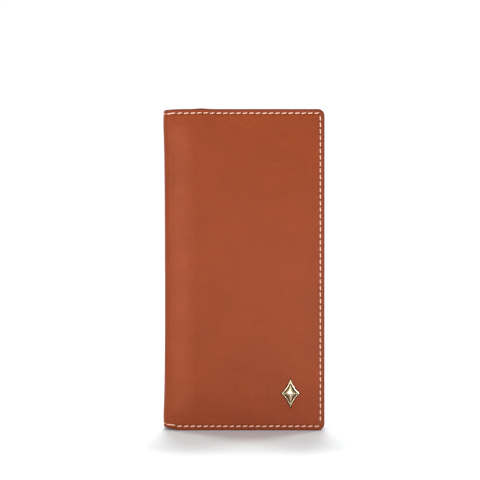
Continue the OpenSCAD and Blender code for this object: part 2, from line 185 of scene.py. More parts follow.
def leather(name, base, dark, edge, grain=1.0, rough=0.46, specular=0.28, rub_and_highlight_colour=None):
    """Tanned leather. The attribute flat holds the place on the flat hide and the distance from its edge, in
    millimetres, and the attribute seam holds how near a seam is. edge is the colour at edges, partly dark
    edge paint and partly painted shade on the rounded nose, and the painted shade in the seam grooves; the
    last colour is that of the band beside the fold, partly rubbed leather and partly a painted highlight."""
    m, shader = material(name)
    g = Graph(m)
    flat = g.attribute("flat")
    seam = g.attribute("seam").outputs["Fac"]
    split = g.node("SeparateXYZ")
    g.put(flat.outputs["Vector"], split.inputs[0])
    edge_in = split.outputs["Z"]
    across = g.node("CombineXYZ")
    g.put(split.outputs["X"], across.inputs[0])
    g.put(split.outputs["Y"], across.inputs[1])
    place = across.outputs[0]
    clouds = g.noise(place, 0.045, 4.0, 0.6)
    mottle = g.noise(place, 0.55, 4.0, 0.6)
    fine = g.noise(place, 4.5, 3.0, 0.6)
    pores = g.cells(place, 2.4)
    drawn = g.node("CombineXYZ")
    g.put(g.math("MULTIPLY", split.outputs["X"], 0.13), drawn.inputs[0])
    g.put(split.outputs["Y"], drawn.inputs[1])
    wrinkles = g.noise(drawn.outputs[0], 0.62, 2.0, 0.5)
    tone = g.mix(g.ramp(clouds, 0.35, 0.68, 0.0, 0.5), base, dark)
    tone = g.mix(g.ramp(mottle, 0.35, 0.7, 0.0, 0.3), tone, dark)
    tone = g.mix(g.ramp(fine, 0.55, 0.75, 0.0, 0.2), tone, dark)
    # The band beside the fold is painted lighter: partly rubbed leather, partly a painted highlight of the
    # sheen on the fold.
    if rub_and_highlight_colour:
        off = g.math("ABSOLUTE", g.math("SUBTRACT", g.math("ABSOLUTE", split.outputs["X"]), RUB_HIGHLIGHT_U))
        rub_and_highlight_band = g.math("MULTIPLY", g.ramp(off, 2.0, 9.0, 0.115, 0.0), g.ramp(edge_in, 4.0, 16.0))
        tone = g.mix(g.math("MULTIPLY", rub_and_highlight_band, g.ramp(clouds, 0.3, 0.6, 1.0, 0.7)), tone, rub_and_highlight_colour)
    # Darker towards every edge: partly dark edge paint, partly painted shade where the rounded nose turns
    # away from the light.
    edge_paint_and_shade = g.math("MULTIPLY", g.ramp(edge_in, 0.3, 1.5, 1.0, 0.0), g.ramp(mottle, 0.3, 0.6, 0.75, 1.0))
    tone = g.mix(edge_paint_and_shade, tone, edge)
    # Painted shade in the seam grooves, darker the nearer a seam is.
    tone = g.mix(g.ramp(seam, 0.1, 0.9, 0.0, 0.85), tone, edge)
    g.put(tone, shader.inputs["Base Color"])
    g.put(g.ramp(mottle, 0.3, 0.7, rough - 0.05, rough + 0.07), shader.inputs["Roughness"])
    shader.inputs["Specular IOR Level"].default_value = specular
    creases = g.noise(place, 0.16, 3.0, 0.5)
    normal = g.bump(creases, 0.00025 * grain)
    normal = g.bump(g.math("MULTIPLY", wrinkles, g.ramp(clouds, 0.4, 0.6)), 0.0001 * grain, normal)
    normal = g.bump(g.math("ADD", pores, g.math("MULTIPLY", fine, 0.6)), 0.00003 * grain, normal)
    g.put(normal, shader.inputs["Normal"])
    return m


def thread_material():
    m, shader = material("thread_cream")
    g = Graph(m)
    twist = g.attribute("twist").outputs["Fac"]
    tex = g.node("TexCoord")
    fluff = g.noise(tex.outputs["Object"], 2600.0, 2.0)
    # Darker in the grooves between the twisted plies: painted shade.
    tone = g.mix(g.ramp(twist, 0.0, 0.7, 1.0, 0.0), colour(250, 208, 182), colour(204, 142, 116))
    tone = g.mix(g.ramp(fluff, 0.4, 0.7, 0.0, 0.25), tone, colour(224, 168, 142))
    g.put(tone, shader.inputs["Base Color"])
    shader.inputs["Roughness"].default_value = 0.62
    shader.inputs["Specular IOR Level"].default_value = 0.25
    shader.inputs["Sheen Weight"].default_value = 0.25
    shader.inputs["Sheen Roughness"].default_value = 0.4
    g.put(g.bump(fluff, 0.00004), shader.inputs["Normal"])
    return m


def woven(name, light, dark, across=1.5, along=1.5):
    """Plain weave. across and along are the numbers of threads to the millimetre."""
    m, shader = material(name)
    g = Graph(m)
    flat = g.attribute("flat")
    split = g.node("SeparateXYZ")
    g.put(flat.outputs["Vector"], split.inputs[0])
    warp = g.math("SINE", g.math("MULTIPLY", split.outputs["X"], across * math.tau))
    weft = g.math("SINE", g.math("MULTIPLY", split.outputs["Y"], along * math.tau))
    weave = g.math("MULTIPLY", warp, weft)
    dirt = g.noise(flat.outputs["Vector"], 0.5)
    tone = g.mix(g.ramp(weave, -1.0, 1.0), dark, light)
    tone = g.mix(g.ramp(dirt, 0.4, 0.7, 0.0, 0.3), tone, dark)
    g.put(tone, shader.inputs["Base Color"])
    shader.inputs["Roughness"].default_value = 0.85
    shader.inputs["Specular IOR Level"].default_value = 0.2
    shader.inputs["Sheen Weight"].default_value = 0.2
    g.put(g.bump(weave, 0.00008), shader.inputs["Normal"])
    return m


def antique_metal(name, bright, dark, rough):
    """Antiqued brass: dark in recesses and where the stored darkness attribute is high (patina, and on the
    badge's flange a painted shadow), rubbed bright elsewhere.
    """
    m, shader = material(name)
    g = Graph(m)
    tex = g.node("TexCoord")
    blotch = g.noise(tex.outputs["Object"], 420.0, 4.0)
    scratch = g.noise(tex.outputs["Object"], 2400.0, 2.0)
    hollow = g.node("AmbientOcclusion", samples=8)
    hollow.inputs["Distance"].default_value = 0.0006
    deep = g.ramp(hollow.outputs["AO"], 0.25, 0.85, 1.0, 0.0)
    shade = g.math("MULTIPLY", deep, g.ramp(blotch, 0.2, 0.6, 0.6, 1.0))
    shade = g.math("MAXIMUM", shade, g.attribute("patina_and_shadow").outputs["Fac"])
    tone = g.mix(g.ramp(blotch, 0.4, 0.7, 0.0, 0.35), bright, dark)
    tone = g.mix(shade, tone, dark)
    g.put(tone, shader.inputs["Base Color"])
    shader.inputs["Metallic"].default_value = 1.0
    g.put(g.ramp(blotch, 0.3, 0.7, rough - 0.06, rough + 0.12), shader.inputs["Roughness"])
    rounded = g.node("Bevel", samples=4)
    rounded.inputs["Radius"].default_value = 0.00012
    g.put(g.bump(scratch, 0.00001, rounded.outputs[0]), shader.inputs["Normal"])
    return m


# The third colour of each leather is its edge paint and the painted shade at edges and seams; the cover's
# last colour is the band beside the fold, partly rubbed leather and partly a painted highlight.
COVER = leather("leather_cover", colour(134, 54.8, 16.5), colour(119, 46.3, 12), colour(103, 42, 24),
                specular=0.165, rub_and_highlight_colour=colour(184, 104, 76))
INNER = leather("leather_inner", colour(140, 63, 30), colour(126, 54, 24), colour(90, 40, 24),
                0.7, 0.55, 0.2)
LINING = leather("leather_lining", colour(124, 62, 36), colour(110, 53, 30), colour(84, 40, 25),
                 0.5, 0.62, 0.16)
THREAD = thread_material()
CLOTH = woven("twill_lining", colour(104, 76, 56), colour(58, 40, 30))
TAPE = woven("zip_tape_weave", colour(112, 70, 46), colour(70, 42, 28), 1.1, 1.1)
BRASS = antique_metal("brass_zip", colour(200, 170, 110), colour(88, 64, 34), 0.32)
BADGE = antique_metal("brass_badge", colour(240, 222, 184), colour(58, 36, 24), 0.26)

# ---------------------------------------------------------------- meshes


def finish_mesh(name, mesh, mat, angle=38.0):
    """Makes an object of a closed mesh in millimetres, with smooth faces and sharp corners."""
    bm = bmesh.new()
    bm.from_mesh(mesh)
    bmesh.ops.remove_doubles(bm, verts=bm.verts, dist=0.004)
    bmesh.ops.dissolve_degenerate(bm, edges=bm.edges, dist=0.002)
    bmesh.ops.recalc_face_normals(bm, faces=bm.faces)
    bmesh.ops.scale(bm, vec=(MM, MM, MM), verts=bm.verts)
    bm.to_mesh(mesh)
    bm.free()
    mesh.shade_smooth()
    mesh.set_sharp_from_angle(angle=math.radians(angle))
    mesh.materials.append(mat)
    obj = bpy.data.objects.new(name, mesh)
    bpy.context.scene.collection.objects.link(obj)
    return obj


def store(mesh, name, kind, values):
    """Stores one value for each point of the mesh."""
    layer = mesh.attributes.new(name, kind, "POINT")
    key = "vector" if kind == "FLOAT_VECTOR" else "value"
    layer.data.foreach_set(key, np.asarray(values, np.float32).ravel())


def grid_lines(low, high, step, at_low=(), at_high=(), extra=()):
    """Lines from low to high: close together near an edge, an even step between, and any extra ones."""
    fine = [low + d for d in at_low] + [high - d for d in at_high] + list(extra)
    a = low + (max(at_low) if at_low else 0)
    b = high - (max(at_high) if at_high else 0)
    even = list(np.linspace(a, b, max(2, int(round((b - a) / step)) + 1)))
    kept = []
    for v in sorted(fine + even):
        if not kept or v - kept[-1] > 0.02:
            kept.append(v)
    kept[-1] = high
    return np.array(kept)


def nose(d, r):
    """How far a rounded edge of radius r has dropped at the distance d from the edge."""
    q = np.clip(r - d, 0, r)
    return r - np.sqrt(np.maximum(r * r - q * q, 0))


def seam_lines(u, z, seams):
    """For each place, how near the closest seam is, from 0 to 1, and the wave that its stitches pull in the
    leather. A seam is its two ends on the flat sheet and its number of stitches."""
    near = np.zeros(u.shape)
    pull = np.zeros(u.shape)
    for a, b, count in seams:
        run = np.array(b, float) - np.array(a, float)
        length = np.hypot(*run)
        run /= length
        t = (u - a[0]) * run[0] + (z - a[1]) * run[1]
        c = (u - a[0]) * run[1] - (z - a[1]) * run[0]
        inside = smooth(np.minimum(t, length - t) / 0.8 + 1)
        n = inside * np.exp(-((c / 0.62) ** 2))
        wave = np.cos(t / length * count * math.tau) * np.exp(-((c / 1.1) ** 2)) * inside
        pull = np.where(n > near, wave, pull)
        near = np.maximum(near, n)
    return near, pull


def slab(name, mat, us, zs, place, thick, r_out, r_in, sides="uUzZ", corners=(), corner_r=1.0,
         hole=None, seams=(), relief=None, groove=0.36, pucker=0.07, hand=1):
    """A sheet of leather or cloth as one closed solid. us and zs are the grid lines on the flat sheet, and
    place(u, z, depth) gives the point at that depth under its visible face. r_out and r_in round the edges
    of its visible and its hidden face. sides are the sides that end in an edge, u and z the low ones and U
    and Z the high ones, and corners are the rounded ones. hole is (u0, u1, z0, z1, radius).
    relief(u, z, edge) is how far the visible face is pressed in, groove how deep a seam lies and pucker how
    much its stitches pull. hand is -1 for the mirrored half of a hide, whose pattern then runs on over the
    middle."""
    u, z = np.meshgrid(us, zs, indexing="ij")
    edge = np.full(u.shape, 50.0)
    for side, d in (("u", u - us[0]), ("U", us[-1] - u), ("z", z - zs[0]), ("Z", zs[-1] - z)):
        if side in sides:
            edge = np.minimum(edge, d)
    pu, pz = u.copy(), z.copy()
    for c in corners:
        su, sz = (1 if c[0] == "U" else -1), (1 if c[1] == "Z" else -1)
        cu = us[-1] - corner_r if su > 0 else us[0] + corner_r
        cz = zs[-1] - corner_r if sz > 0 else zs[0] + corner_r
        a, b = (u - cu) * su, (z - cz) * sz
        k = np.where((a > 0) & (b > 0), np.maximum(a, b) / np.maximum(np.hypot(a, b), 1e-9), 1.0)
        pu = np.where(k != 1, cu + su * a * k, pu)
        pz = np.where(k != 1, cz + sz * b * k, pz)
    solid = np.ones((len(us) - 1, len(zs) - 1), bool)
    if hole:
        h0, h1, g0, g1, hr = hole
        away = np.maximum(np.maximum(h0 - u, u - h1), np.maximum(g0 - z, z - g1))
        edge = np.minimum(edge, np.maximum(away, 0))
        mu, mz = (us[1:] + us[:-1]) / 2, (zs[1:] + zs[:-1]) / 2
        solid = ~(((mu > h0) & (mu < h1))[:, None] & ((mz > g0) & (mz < g1))[None, :])
        for su in (-1, 1):
            for sz in (-1, 1):
                cu = h1 - hr if su > 0 else h0 + hr
                cz = g1 - hr if sz > 0 else g0 + hr
                a, b = (u - cu) * su, (z - cz) * sz
                m = np.maximum(a, b)
                fade = smooth((m - hr) / hr)
                k = m / np.maximum(np.hypot(a, b), 1e-9) * (1 - fade) + fade
                use = (a > 0) & (b > 0)
                pu = np.where(use, cu + su * a * k, pu)
                pz = np.where(use, cz + sz * b * k, pz)
    near, pull = seam_lines(u, z, seams)
    inner = smooth(edge / max(r_out, 0.2))
    down = nose(edge, r_out) + inner * (groove * near + pucker * pull)
    if relief is not None:
        down = down + inner * relief(u, z, edge)
    up = thick - nose(edge, r_in)
    faces_at = []
    for depth in (down, up):
        x, y, w = place(pu, pz, depth)
        faces_at.append(np.stack([x, y, w], -1))
    used = np.zeros(u.shape, bool)
    for di in (0, 1):
        for dj in (0, 1):
            used[di:di + solid.shape[0], dj:dj + solid.shape[1]] |= solid
    index = np.full(u.shape, -1)
    index[used] = np.arange(used.sum())
    count = int(used.sum())
    points = np.concatenate([f[used] for f in faces_at])
    faces = []
    for i, j in zip(*np.nonzero(solid)):
        q = [index[i, j], index[i + 1, j], index[i + 1, j + 1], index[i, j + 1]]
        faces.append(q)
        faces.append([v + count for v in reversed(q)])
    padded = np.zeros((solid.shape[0] + 2, solid.shape[1] + 2), bool)
    padded[1:-1, 1:-1] = solid
    for i in range(u.shape[0]):
        for j in range(u.shape[1] - 1):
            if padded[i, j + 1] != padded[i + 1, j + 1]:
                a, b = index[i, j], index[i, j + 1]
                faces.append([a, b, b + count, a + count])
    for i in range(u.shape[0] - 1):
        for j in range(u.shape[1]):
            if padded[i + 1, j] != padded[i + 1, j + 1]:
                a, b = index[i, j], index[i + 1, j]
                faces.append([a, b, b + count, a + count])
    mesh = bpy.data.meshes.new(name)
    mesh.from_pydata(points.tolist(), [], [[int(v) for v in f] for f in faces])
    flat = np.stack([hand * pu[used], pz[used], edge[used]], -1)
    store(mesh, "flat", "FLOAT_VECTOR", np.concatenate([flat, flat]))
    store(mesh, "seam", "FLOAT", np.concatenate([near[used], np.zeros(count)]))
    return finish_mesh(name, mesh, mat)


STITCH_GAP = 1.3  # from one stitch to the next
STITCH_LEAN = 0.18  # how far a stitch's ends stand off the seam line
STITCH_PROUD = 0.04  # how far a stitch's middle stands over the leather


def stitches(name, seams, place, radius=0.34):
    """One twisted thread stitch for each step of each seam, dipping into the leather at both ends."""
    sides, rings = 10, 11
    points, faces, twist = [], [], []
    ring = np.arange(sides) / sides * math.tau
    for a, b, count in seams:
        a, b = np.array(a, float), np.array(b, float)
        run = (b - a) / count
        step = np.hypot(*run)
        run /= step
        side = np.array([-run[1], run[0]])
        half = (step - STITCH_GAP) / 2 + 0.12
        slant = STITCH_LEAN * (0.35 + 0.65 * abs(run[0]))
        for k in range(count):
            middle = a + run * step * (k + 0.5)
            wobble = noise.noise(Vector((middle[0], middle[1], 3.1))) * 0.06
            t = np.linspace(-1, 1, rings)
            flat = middle + np.outer(t * half, run) + np.outer(t * slant + wobble, side)
            depth = 0.62 * np.abs(t) ** 3.2 - STITCH_PROUD
            centre = np.stack(place(flat[:, 0], flat[:, 1], depth), -1)
            above = np.stack(place(flat[:, 0], flat[:, 1], depth - 0.1), -1)
            along = np.gradient(centre, axis=0)
            along /= np.linalg.norm(along, axis=1)[:, None]
            up = above - centre
            up -= along * (up * along).sum(1)[:, None]
            up /= np.linalg.norm(up, axis=1)[:, None]
            across = np.cross(along, up)
            first = len(points)
            for i in range(rings):
                ply = ring * 3 - t[i] * 7.5
                r = radius * (1 - 0.45 * abs(t[i]) ** 6) * (1 + 0.13 * np.cos(ply))
                p = centre[i] + np.outer(r * np.cos(ring), up[i]) + np.outer(r * np.sin(ring), across[i])
                points.extend(p.tolist())
                twist.extend((0.5 + 0.5 * np.cos(ply)).tolist())
            for i in range(rings - 1):
                for s in range(sides):
                    n = (s + 1) % sides
                    faces.append([first + i * sides + s, first + i * sides + n,
                                  first + (i + 1) * sides + n, first + (i + 1) * sides + s])
            faces.append([first + s for s in range(sides)])
            faces.append([first + (rings - 1) * sides + s for s in range(sides)])
    mesh = bpy.data.meshes.new(name)
    mesh.from_pydata(points, [], faces)
    store(mesh, "twist", "FLOAT", twist)
    return finish_mesh(name, mesh, THREAD, 60)


# ---------------------------------------------------------------- covers

NOSE = COVER_T / 2
EDGE_LINES = [0, 0.05, 0.15, 0.3, 0.5, 0.72, NOSE, 1.25, 1.6, 1.9, 2.2, SEAM_IN, 2.9, 3.25, 3.7, 4.3, 5.0]


def section(side, under=0.0):
    """Where the flat cover, or a sheet that far under its face, lies in space. u runs from the middle of the
    spine round the fold to the free edge. side is 1 for the back half and -1 for the front half."""

    def place(u, z, depth):
        depth = depth + under
        angle = np.clip((u - FOLD_Y) / FOLD_R, 0, math.pi / 2)
        r = FOLD_R - depth
        x = np.where(u < FOLD_Y, SPINE_X + depth, FOLD_X - r * np.cos(angle))
        x = np.where(u > FLAT_U, FOLD_X + u - FLAT_U, x)
        y = np.where(u < FOLD_Y, u, FOLD_Y + r * np.sin(angle))
        beside = smooth((FLAT_U + 5 - u) / 9)
        pressed = (1 - np.exp(-np.maximum(z - 3, 0) / 33)) * (1 - np.exp(-np.maximum(TOP_Z - 6 - z, 0) / 42))
        lifted = (1 - smooth((u - 7.5) / 7)) * (HEM_LIFT * np.exp(-z / 14) - 0.35 * np.exp((z - TOP_Z) / 14))
        lifted = lifted + 0.4 * np.exp(-(((u - 27) / 4) ** 2) + (z - TOP_Z) / 5)
        spread = SPREAD * (0.45 + 0.55 * smooth(np.minimum(z, TOP_Z - z) / 9))
        return x + (WAIST * pressed - spread) * beside, side * y, z + lifted

    return place


PITCH = 3.86
ROW, COLUMN = 22, 47  # stitches in a row along the top and in the column along the free edge
SEAM_U = FREE_U - SEAM_IN
ROW_END = SEAM_U - 0.1
ROW_U = ROW_END - ROW * PITCH  # where the even stitches begin, past the two long ones over the fold
COLUMN_Z = (TOP_Z - COLUMN * PITCH) / 2 + 0.75
cover_seams = [((SEAM_U, COLUMN_Z), (SEAM_U, COLUMN_Z + COLUMN * PITCH), COLUMN)]
for row_z in (SEAM_IN, TOP_Z - SEAM_IN):
    for from_u, to_u, count in ((0.2, 5.7, 1), (5.7, ROW_U, 1), (ROW_U, ROW_END, ROW)):
        cover_seams.append(((from_u, row_z), (to_u, row_z), count))


def cover_relief(seed):
    """The cover's soft unevenness, the rolls beside its seam and the soft fold along the spine."""

    def relief(u, z, edge):
        calm = smooth((edge - 3.2) / 9)
        swell = 0.16 * waves(u, z, 34, seed) + 0.05 * waves(u, z, 9, seed + 4)
        roll = -0.1 * np.exp(-(((edge - 1.5) / 0.55) ** 2)) - 0.06 * np.exp(-(((edge - 3.9) / 0.8) ** 2))
        soft_fold = 0.7 * np.exp(-(((u - 8.5) / 6) ** 2)) * smooth((edge - 4) / 22)
        return calm * swell * smooth((u - 3) / 10) + roll + soft_fold

    return relief


fold_lines = list(np.linspace(0, FLAT_U, 17)) + [FLAT_U + 1, FLAT_U + 2]
cover_us = grid_lines(0, FREE_U, 1.0, (), EDGE_LINES, fold_lines)
cover_us = cover_us[(cover_us > FLAT_U - 0.01) | np.isin(cover_us, fold_lines)]
cover_zs = grid_lines(0, TOP_Z, 1.0, EDGE_LINES, EDGE_LINES)

LINING_IN = 1.0
LINING_EDGE = [0, 0.1, 0.2, 0.6, 2]
lining_us = grid_lines(0, FREE_U - LINING_IN, 3.0, (), LINING_EDGE, fold_lines)
lining_zs = grid_lines(LINING_IN, TOP_Z - LINING_IN, 3.0, LINING_EDGE, LINING_EDGE)
FREE_CORNERS = ("UZ", "Uz")

for side, body, seed in ((1, "back", 1.7), (-1, "front", 8.3)):
    cover = slab("cover_" + body, COVER, cover_us, cover_zs, section(side), COVER_T, NOSE, NOSE, "UzZ",
                 FREE_CORNERS, CORNER_R, seams=cover_seams, relief=cover_relief(seed), hand=side)
    thread = stitches("seam_" + body, cover_seams, section(side))
    lining = slab("lining_" + body, LINING, lining_us, lining_zs, section(side, COVER_T), LINING_T, 0.02, 0.2,
                  "UzZ", FREE_CORNERS, CORNER_R - 1, hand=side)
    if side > 0:
        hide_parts("back_cover", "back_stiffener", "spine_leather", "spine_padding")
        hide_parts("back_cover_seam", "spine_seam")
        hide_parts("back_lining", "spine_lining")
    else:
        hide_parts("front_cover", "front_stiffener")
        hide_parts("front_cover_seam")
        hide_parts("front_lining")
    for obj, slot in ((cover, "cover_leather"), (thread, "thread"), (lining, "lining_leather")):
        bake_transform(obj)

# ---------------------------------------------------------------- card side

panel_low, panel_high = node_box("card_backing")
PX0, PX1 = panel_low[0], panel_high[0]
PZ0, PZ1 = panel_low[2], panel_high[2]
card_face = panel_high[1]
leaf_boxes = [node_box("card_slot_%d" % k) for k in range(1, 9)]
leaf_low, leaf_high = leaf_boxes[0]
leaf_tops = [high[2] for low, high in leaf_boxes]
LEAF_T = 0.5
LEAF_SHOWS = 15.2  # the part of a leaf that shows above the next one, and a little more
leaf_face = leaf_high[1]
leaf_depth = leaf_high[2] - leaf_low[2]
leaf_slope = (leaf_face - leaf_low[1] - LEAF_T) / leaf_depth


def facing(face_y, away):
    """A flat panel in XZ with its visible face at face_y. away is the sign of Y into the material."""
    return lambda u, z, depth: (u, face_y + away * depth, z)


def leaf_place(top):
    """A card leaf, which leans back towards its lower edge."""
    return lambda u, z, depth: (u, leaf_face - (top - z) * leaf_slope - depth, z)


def card_face_y(z):
    """The card side's visible face at height z: the leaf that shows there, or the backing above the slots."""
    y = np.full(np.shape(z), card_face)
    for top in reversed(leaf_tops):
        y = np.where(z <= top, np.maximum(leaf_face - (top - z) * leaf_slope, y), y)
        y = np.where((z <= top) & (z > top - LEAF_SHOWS), leaf_face - (top - z) * leaf_slope, y)
    return y


side_x = PX0 + 1.3
free_x = FREE_X - SEAM_IN
low_z, high_z = SEAM_IN, TOP_Z - SEAM_IN
slots_z = leaf_tops[-1]
SMALL_EDGE = [0, 0.04, 0.12, 0.25, 0.5, 0.9, 1.5, 2.5]
SMALL_R = 0.28  # of the thread inside
backing_us = grid_lines(PX0, PX1, 2.0, SMALL_EDGE, SMALL_EDGE)
backing_zs = grid_lines(PZ0, PZ1, 2.0, SMALL_EDGE, SMALL_EDGE)
backing_seams = [((side_x, slots_z), (side_x, high_z), 7), ((side_x, high_z), (free_x, high_z), 24),
                 ((free_x, slots_z), (free_x, high_z), 7)]
backing = slab("card_backing_panel", INNER, backing_us, backing_zs, facing(card_face, -1),
               card_face - panel_low[1], 0.25, 0.2, corners=FREE_CORNERS, corner_r=CORNER_R - 1,
               seams=backing_seams, groove=0.15, pucker=0.03)
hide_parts("card_backing")
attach(backing, "front")


def leaf_relief(top):
    """The turned hem at the mouth of a card leaf, with the crease pressed into it."""

    def relief(u, z, edge):
        below = top - z
        band = -0.07 * (1 - smooth((below - 3.2) / 0.5))
        crease = 0.13 * np.exp(-(((below - 1.7) / 0.22) ** 2))
        return band + crease

    return relief


MOUTH_LINES = [0, 0.05, 0.12, 0.22, 0.6, 1.1, 1.4, 1.55, 1.7, 1.85, 2.0, 2.4, 3.1, 3.45, 3.8]
leaf_us = grid_lines(PX0, PX1, 2.5, SMALL_EDGE[:5], SMALL_EDGE[:5])
for k, top in enumerate(leaf_tops, 1):
    leaf_zs = grid_lines(top - leaf_depth, top, 2.0, [0, 0.1, 0.3], MOUTH_LINES)
    leaf = slab("card_leaf_%d" % k, INNER, leaf_us, leaf_zs, leaf_place(top), LEAF_T, 0.22, 0.2,
                relief=leaf_relief(top))
    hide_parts("card_slot_%d" % k)
    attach(leaf, "front")


def card_stitch_place(u, z, depth):
    """On the card side, clear of the steps between the leaves."""
    reach = np.maximum(np.maximum(card_face_y(z), card_face_y(z + 0.7)), card_face_y(z - 0.7))
    return u, reach + 0.12 - depth, z


slot_seams = [((side_x, low_z), (side_x, high_z), 46)]
slot_seam = stitches("seam_card_slots", slot_seams, card_stitch_place, SMALL_R)
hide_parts("card_panel_seam")
round_seams = [((free_x, low_z), (free_x, high_z), 46), ((side_x + 1, high_z), (free_x, high_z), 23),
               ((side_x + 1, low_z), (free_x, low_z), 23)]
inner_seam = stitches("seam_card_panel", round_seams, card_stitch_place, SMALL_R)
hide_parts("front_inner_seam")
for obj in (slot_seam, inner_seam):
    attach(obj, "front")

# ---------------------------------------------------------------- zip pocket

coin_low, coin_high = node_box("coin_pocket_panel")
tape_low, tape_high = node_box("zip_tape_left")
tape2_low, tape2_high = node_box("zip_tape_right")
ZIP_X = (tape_high[0] + tape2_low[0]) / 2
WIN_X = (ZIP_X - 5.5, ZIP_X + 5.5)
WIN_Z = (12.0, TOP_Z - 12.0)
WIN_SEAM = 1.8  # from the window to the seam round it
sx = (WIN_X[0] - WIN_SEAM, WIN_X[1] + WIN_SEAM)
sz = (WIN_Z[0] - WIN_SEAM, WIN_Z[1] + WIN_SEAM)
window_seams = [((x, sz[0]), (x, sz[1]), 43) for x in sx] + [((sx[0], z), (sx[1], z), 4) for z in sz]
panel_seams = [((side_x, low_z), (side_x, high_z), 46), ((free_x, low_z), (free_x, high_z), 46),
               ((side_x, low_z), (free_x, low_z), 23), ((side_x, high_z), (free_x, high_z), 23)]
AROUND = [0, 0.04, 0.12, 0.25, 0.5, 0.9, 1.3, WIN_SEAM, 2.3, 2.8, 3.6]


def window_lines(low, high, step, ends, seam_at):
    """Grid lines of the zip panel: close together round the window, and none just beside its ends."""
    close = [ends[0] - d for d in AROUND] + [ends[1] + d for d in AROUND]
    lines = grid_lines(low, high, step, SMALL_EDGE, SMALL_EDGE, close + seam_at)
    return np.array([v for v in lines if v in ends or min(abs(v - end) for end in ends) > 0.03])


coin_us = window_lines(PX0, PX1, 1.6, WIN_X, [side_x, free_x])
coin_zs = window_lines(PZ0, PZ1, 1.3, WIN_Z, [low_z, high_z])
coin_place = facing(coin_low[1], 1)
coin = slab("coin_panel", INNER, coin_us, coin_zs, coin_place, coin_high[1] - coin_low[1], 0.35, 0.2,
            corners=FREE_CORNERS, corner_r=CORNER_R - 1, hole=(*WIN_X, *WIN_Z, 3.0),
            seams=panel_seams + window_seams, groove=0.22, pucker=0.05)
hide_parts("coin_pocket_panel")
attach(coin, "back")
outer = stitches("seam_coin_panel", panel_seams, coin_place, SMALL_R)
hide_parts("coin_panel_seam")
inner = stitches("seam_zip_window", window_seams, coin_place, SMALL_R)
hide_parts("zip_window_seam")
for obj in (outer, inner):
    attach(obj, "back")

gusset_low, gusset_high = node_box("coin_pocket_gusset")


def gusset():
    """A strip of thin leather folded inwards like bellows, along the bottom, the free edge and the top."""
    front, back = gusset_low[1] + 0.05, gusset_high[1] - 0.32
    middle = (front + back) / 2
    wall, depth = 0.55, 5.6
    outside = [(0.5, back), (depth - 0.8, back), (depth - 0.2, back - 0.25), (depth, middle),
               (depth - 0.2, front + 0.25), (depth - 0.8, front), (0.5, front)]
    inside = [(0.5, back - wall), (depth - 1.1, back - wall), (depth - 0.75, back - wall - 0.12),
              (depth - 0.6, middle), (depth - 0.75, front + wall + 0.12), (depth - 1.1, front + wall),
              (0.5, front + wall)]
    loop = outside + inside[::-1]

    def corner(k, d):
        """The path's corner k, from the bottom at the spine round to the top, d inside the panel's edges."""
        return PX1 - d if k in (1, 2) else PX0 + 0.4, PZ0 + d if k < 2 else PZ1 - d

    rows = []
    for k, count in enumerate((30, 60, 30)):
        for i in range(count + (k == 2)):
            t = i / count
            row = []
            for d, y in loop:
                (x0, z0), (x1, z1) = corner(k, d), corner(k + 1, d)
                row.append((x0 * (1 - t) + x1 * t, z0 * (1 - t) + z1 * t, y))
            rows.append(row)
    points, faces, flat = [], [], []
    for r, row in enumerate(rows):
        for s, (x, z, y) in enumerate(row):
            points.append((x, y, z))
            # The strip's cut edges get the leather's darker edge, partly edge paint and partly painted shade.
            flat.append((r * 3.0, s * 1.5, 3.0 if 0 < s % 7 < 6 else 0.4))
    n = len(loop)
    for r in range(len(rows) - 1):
        for s in range(n):
            faces.append([r * n + s, r * n + (s + 1) % n, (r + 1) * n + (s + 1) % n, (r + 1) * n + s])
    faces.append(list(range(n)))
    faces.append([(len(rows) - 1) * n + s for s in range(n)])
    mesh = bpy.data.meshes.new("coin_gusset")
    mesh.from_pydata(points, [], faces)
    store(mesh, "flat", "FLOAT_VECTOR", flat)
    store(mesh, "seam", "FLOAT", np.zeros(len(points)))
    return finish_mesh("coin_gusset", mesh, INNER, 50)


folded = gusset()
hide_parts("coin_pocket_gusset")
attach(folded, "back")

bag_low, bag_high = node_box("coin_bag_rear")
bag_front_low, bag_front_high = node_box("coin_bag_front")
BAG_RISE = bag_high[1] - bag_low[1] - 0.3  # the rear sheet comes forward at the spine to meet the front one
CLOTH_T = 0.2
bag_us = grid_lines(bag_low[0], bag_high[0], 4.0, [0.3, 0.6, 1.2, 1.8, 2.4, 3.0, 3.6, 4.2, 4.8, 5.4])
bag_zs = grid_lines(bag_low[2], bag_high[2], 4.0)


def sag(u, z, edge):
    return 0.06 * waves(u, z, 18, 5.5)


def bag_back_place(u, z, depth):
    return u, bag_high[1] - 0.24 + depth - BAG_RISE * (1 - smooth((u - bag_low[0] - 0.6) / 5)), z


bag = slab("coin_bag_back", CLOTH, bag_us, bag_zs, bag_back_place, CLOTH_T, 0.1, 0.1, relief=sag)
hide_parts("coin_bag_rear")
for word, x0, x1 in (("spine", bag_front_low[0], WIN_X[0]), ("free", WIN_X[1], bag_front_high[0])):
    part = slab("coin_bag_%s_side" % word, CLOTH, grid_lines(x0, x1, 4.0), bag_zs,
                facing(bag_front_low[1] + 0.06, 1), CLOTH_T, 0.1, 0.1, relief=sag)
    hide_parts("coin_bag_front")
    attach(part, "back")
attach(bag, "back")

for word, low, high in (("left", tape_low, tape_high), ("right", tape2_low, tape2_high)):
    tape = slab("tape_" + word, TAPE, grid_lines(low[0], high[0], 1.0), grid_lines(low[2], high[2], 2.0),
                facing(low[1], 1), high[1] - low[1], 0.15, 0.15)
    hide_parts("zip_tape_" + word)
    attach(tape, "back")

# ---------------------------------------------------------------- badge


